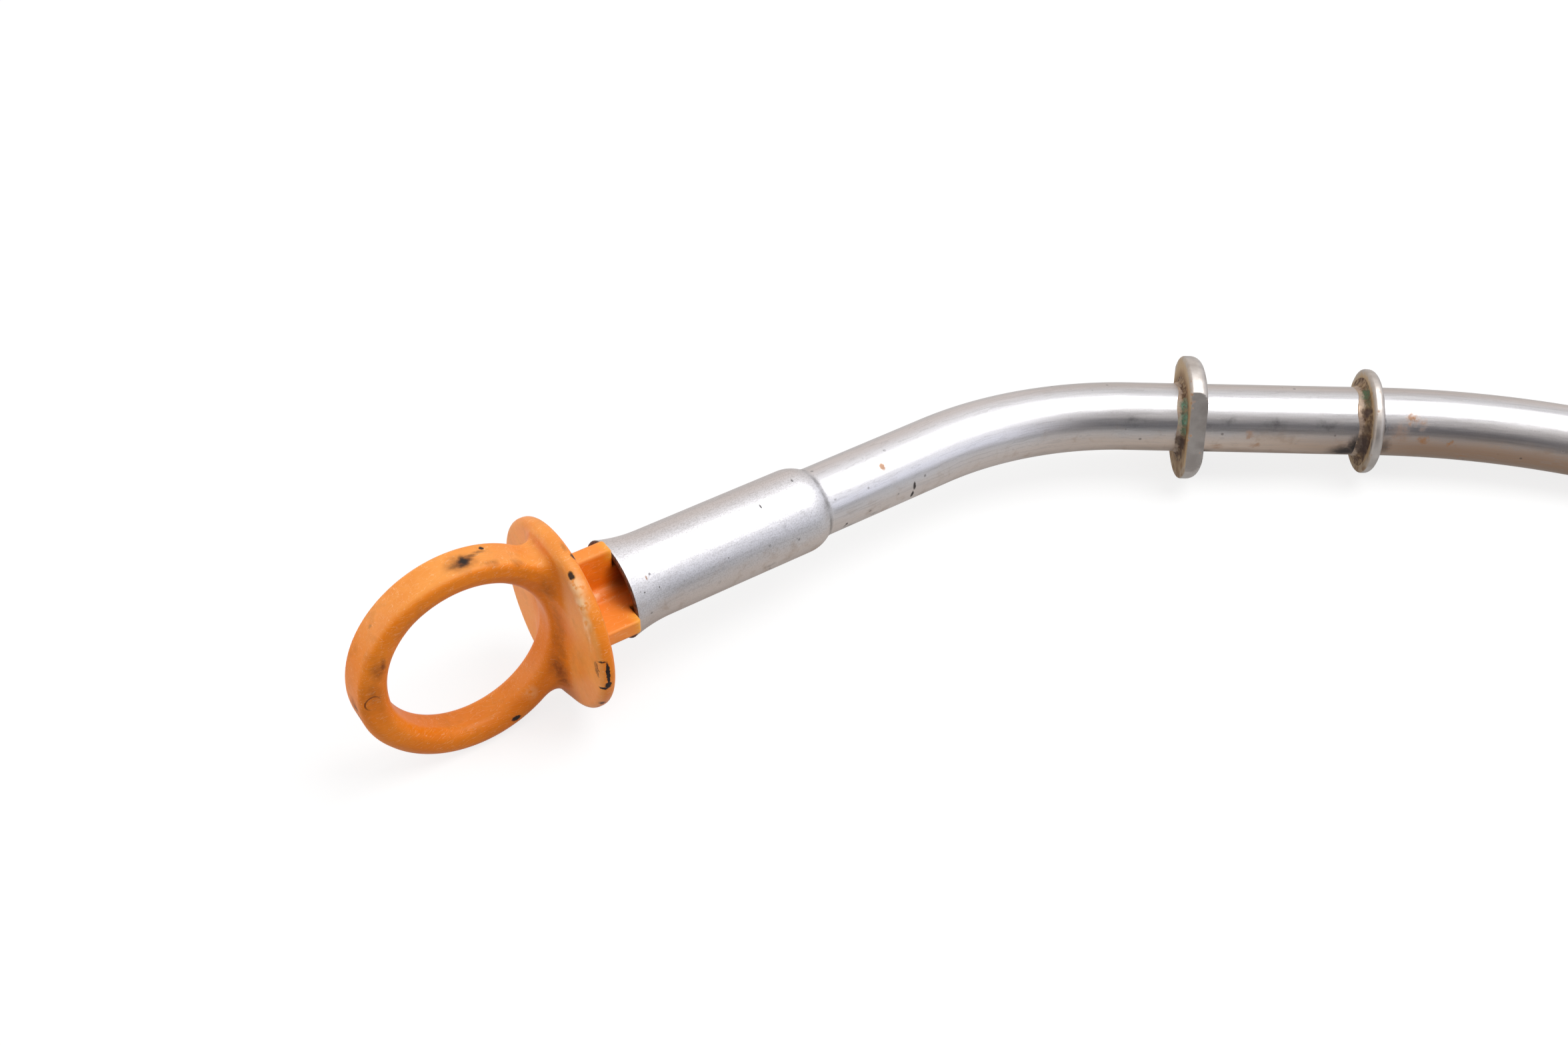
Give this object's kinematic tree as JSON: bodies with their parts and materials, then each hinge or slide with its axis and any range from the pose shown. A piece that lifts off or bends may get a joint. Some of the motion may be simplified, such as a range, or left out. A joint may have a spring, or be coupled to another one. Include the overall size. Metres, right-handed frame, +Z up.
{
  "type": "engine oil dipstick with guide tube",
  "caption": "Orange finger-ring dipstick whose finned plug seats in the flared mouth of a bent steel guide tube with a flatted collar and a round collar; it pulls out to read the oil level.",
  "frame": {"origin": "bottom centre of the part's box, on the surface that it lies on", "axes": "+X from the finger ring down the mouth's bore, +Z up from the surface, bends towards -Y"},
  "size_m": [0.223, 0.1722, 0.0308],
  "materials": {
    "orange_plastic": "satin moulded",
    "seal_rubber": "matt",
    "blade_steel": "rolled, oiled",
    "tube_steel": "drawn, satin",
    "collar_steel": "zinc, brazed on"
  },
  "bodies": {
    "guide_tube": {"guide_tube": "tube_steel", "flatted_collar": "collar_steel", "round_collar": "collar_steel"},
    "dipstick": {"pull_handle": "orange_plastic", "seal_ring": "seal_rubber", "gauge_blade": "blade_steel"}
  },
  "joints": [
    {"name": "dipstick_pull", "type": "slide", "parent": "guide_tube", "child": "dipstick", "axis": [-0.9984, 0, 0.0573], "range_m": [0, 0.05], "deforming": ["gauge_blade"]}
  ]
}
